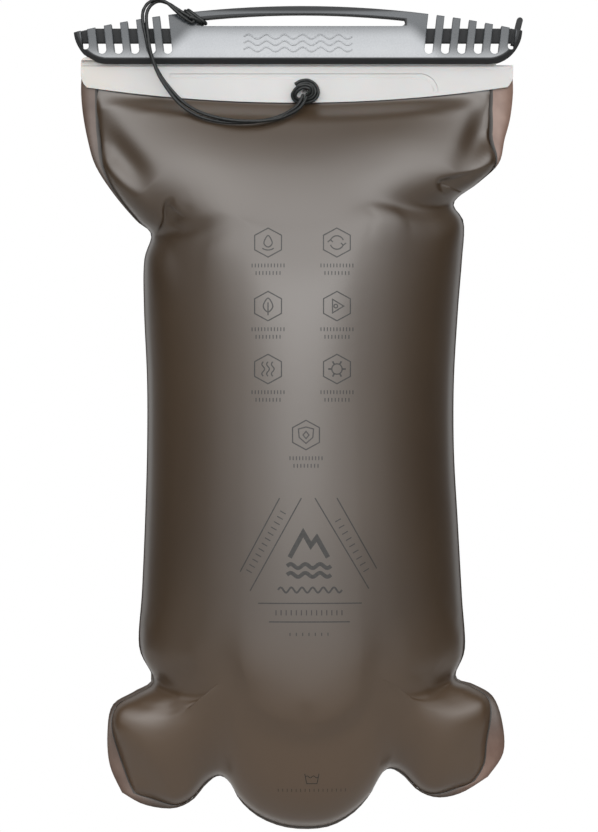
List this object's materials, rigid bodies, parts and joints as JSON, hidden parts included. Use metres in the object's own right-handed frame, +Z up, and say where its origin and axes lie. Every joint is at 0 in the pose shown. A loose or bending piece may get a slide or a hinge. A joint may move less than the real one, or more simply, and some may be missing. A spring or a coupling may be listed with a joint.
{
  "type": "hydration bladder",
  "caption": "Soft drinking reservoir, shown full, with a slide-off closure bar, an elastic tether and a sprung quick-connect hose port on the back.",
  "frame": {"origin": "centre of the hanging slot in the closure bar", "axes": "+Z up when the reservoir hangs, front (printed face) towards -Y, +X to the right seen from the front, hose port towards +Y"},
  "size_m": [0.2242, 0.1096, 0.415],
  "materials": {
    "bar_plastic": "dark grey, moulded, semi-gloss",
    "strip_plastic": "milky translucent, satin",
    "film": "smoky translucent polyurethane film, satin",
    "elastic_cord": "braided elastic, dark",
    "port_plastic": "dark moulded plastic",
    "button_plastic": "blue moulded plastic, satin",
    "valve_plastic": "natural acetal, satin",
    "seal_rubber": "black silicone, satin",
    "latch_steel": "stamped stainless steel",
    "spring_steel": "drawn stainless wire"
  },
  "bodies": {
    "bar": {"slider_bar": "bar_plastic", "tether_hitch": "elastic_cord"},
    "reservoir": {"front_mouth_strip": "strip_plastic", "back_mouth_strip": "strip_plastic", "front_panel": "film", "back_panel": "film", "tether_cord": "elastic_cord", "tether_knot": "elastic_cord", "port_flange": "port_plastic", "port_body": "port_plastic", "bore_seal": "seal_rubber", "latch_spring": "spring_steel", "valve_spring": "spring_steel", "valve_cage": "port_plastic"},
    "latch": {"latch_plate": "latch_steel", "release_button": "button_plastic"},
    "poppet": {"valve_poppet": "valve_plastic", "poppet_seal": "seal_rubber"}
  },
  "joints": [
    {"name": "closure_slide", "type": "slide", "parent": "bar", "child": "reservoir", "axis": [-1, 0, 0], "range_m": [0, 0.206], "deforming": ["tether_cord"]},
    {"name": "release_button_press", "type": "slide", "parent": "reservoir", "child": "latch", "axis": [0, 0, -1], "range_m": [0, 0.0016], "stiffness_N_per_m": 900, "springref_m": -0.0015, "deforming": ["latch_spring"]},
    {"name": "valve_poppet_travel", "type": "slide", "parent": "reservoir", "child": "poppet", "axis": [0, -1, 0], "range_m": [0, 0.003], "stiffness_N_per_m": 400, "springref_m": -0.002, "deforming": ["valve_spring"]}
  ]
}
